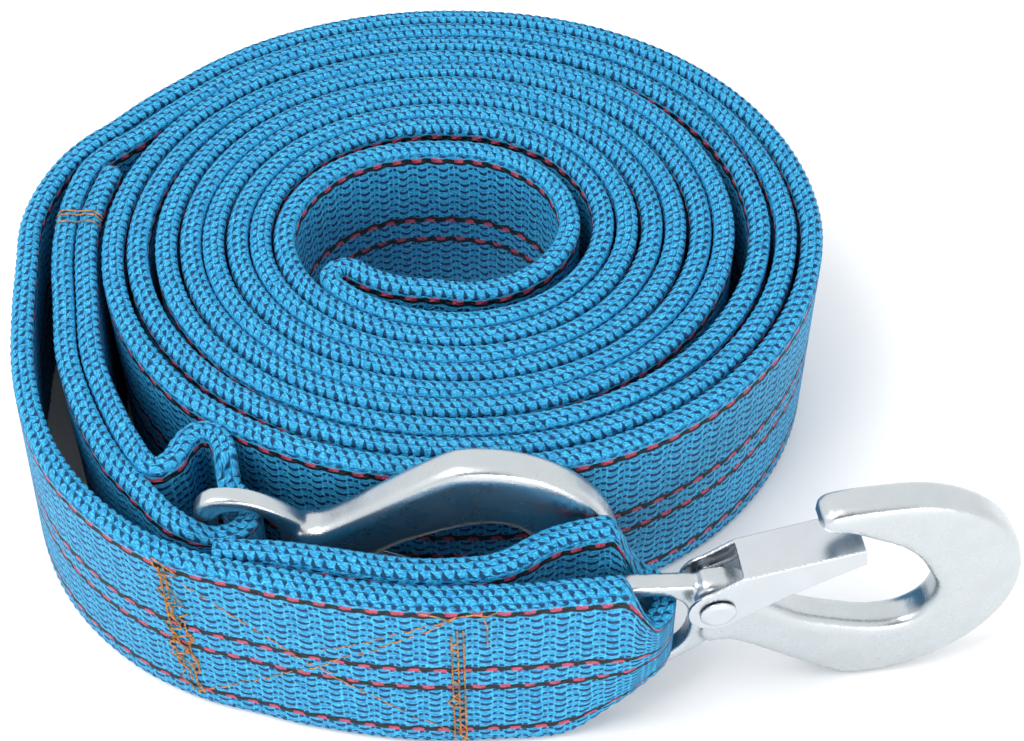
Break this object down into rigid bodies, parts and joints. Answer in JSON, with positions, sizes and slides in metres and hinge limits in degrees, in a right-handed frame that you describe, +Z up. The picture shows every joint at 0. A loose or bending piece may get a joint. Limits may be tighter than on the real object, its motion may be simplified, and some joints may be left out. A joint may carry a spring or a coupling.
{
  "type": "webbing tow strap",
  "caption": "Woven webbing tow strap, doubled and rolled on edge, with a forged latch hook sewn into the loop at each end.",
  "frame": {"origin": "on the floor under the middle of the object's box", "axes": "+Z up, +X to the right as the picture shows it, the way the free hook points, +Y away from the viewer"},
  "size_m": [0.2196, 0.18, 0.0614],
  "materials": {
    "webbing": "woven polyester, bright blue, matt",
    "zinc_forging": "zinc-plated forging, fine grain",
    "zinc_sheet": "zinc-plated bent sheet",
    "rivet_steel": "zinc-plated rivet",
    "spring_wire": "drawn spring wire"
  },
  "bodies": {
    "strap": {"webbing_roll": "webbing", "webbing_left_end": "webbing", "webbing_right_end": "webbing", "hook_left": "zinc_forging", "latch_rivet_left": "rivet_steel"},
    "right_hook": {"hook_right": "zinc_forging", "latch_rivet_right": "rivet_steel"},
    "right_latch": {"latch_right": "zinc_sheet", "latch_spring_right": "spring_wire"},
    "left_latch": {"latch_left": "zinc_sheet", "latch_spring_left": "spring_wire"}
  },
  "joints": [
    {"name": "right_hook_swing", "type": "hinge", "parent": "strap", "child": "right_hook", "pos_m": [0.02687, -0.07703, 0.0245], "axis": [0, 0, 1], "range_deg": [-20, 25]},
    {"name": "right_latch_hinge", "type": "hinge", "parent": "right_hook", "child": "right_latch", "pos_m": [0.04607, -0.07426, 0.03251], "axis": [-0.1426, 0.9898, 0], "range_deg": [0, 45], "stiffness_Nm_per_rad": 0.06, "springref_deg": -28.65},
    {"name": "left_latch_hinge", "type": "hinge", "parent": "strap", "child": "left_latch", "pos_m": [-0.03653, -0.06402, 0.02891], "axis": [0.0209, -0.9998, 0], "range_deg": [0, 45], "stiffness_Nm_per_rad": 0.06, "springref_deg": -28.65}
  ]
}
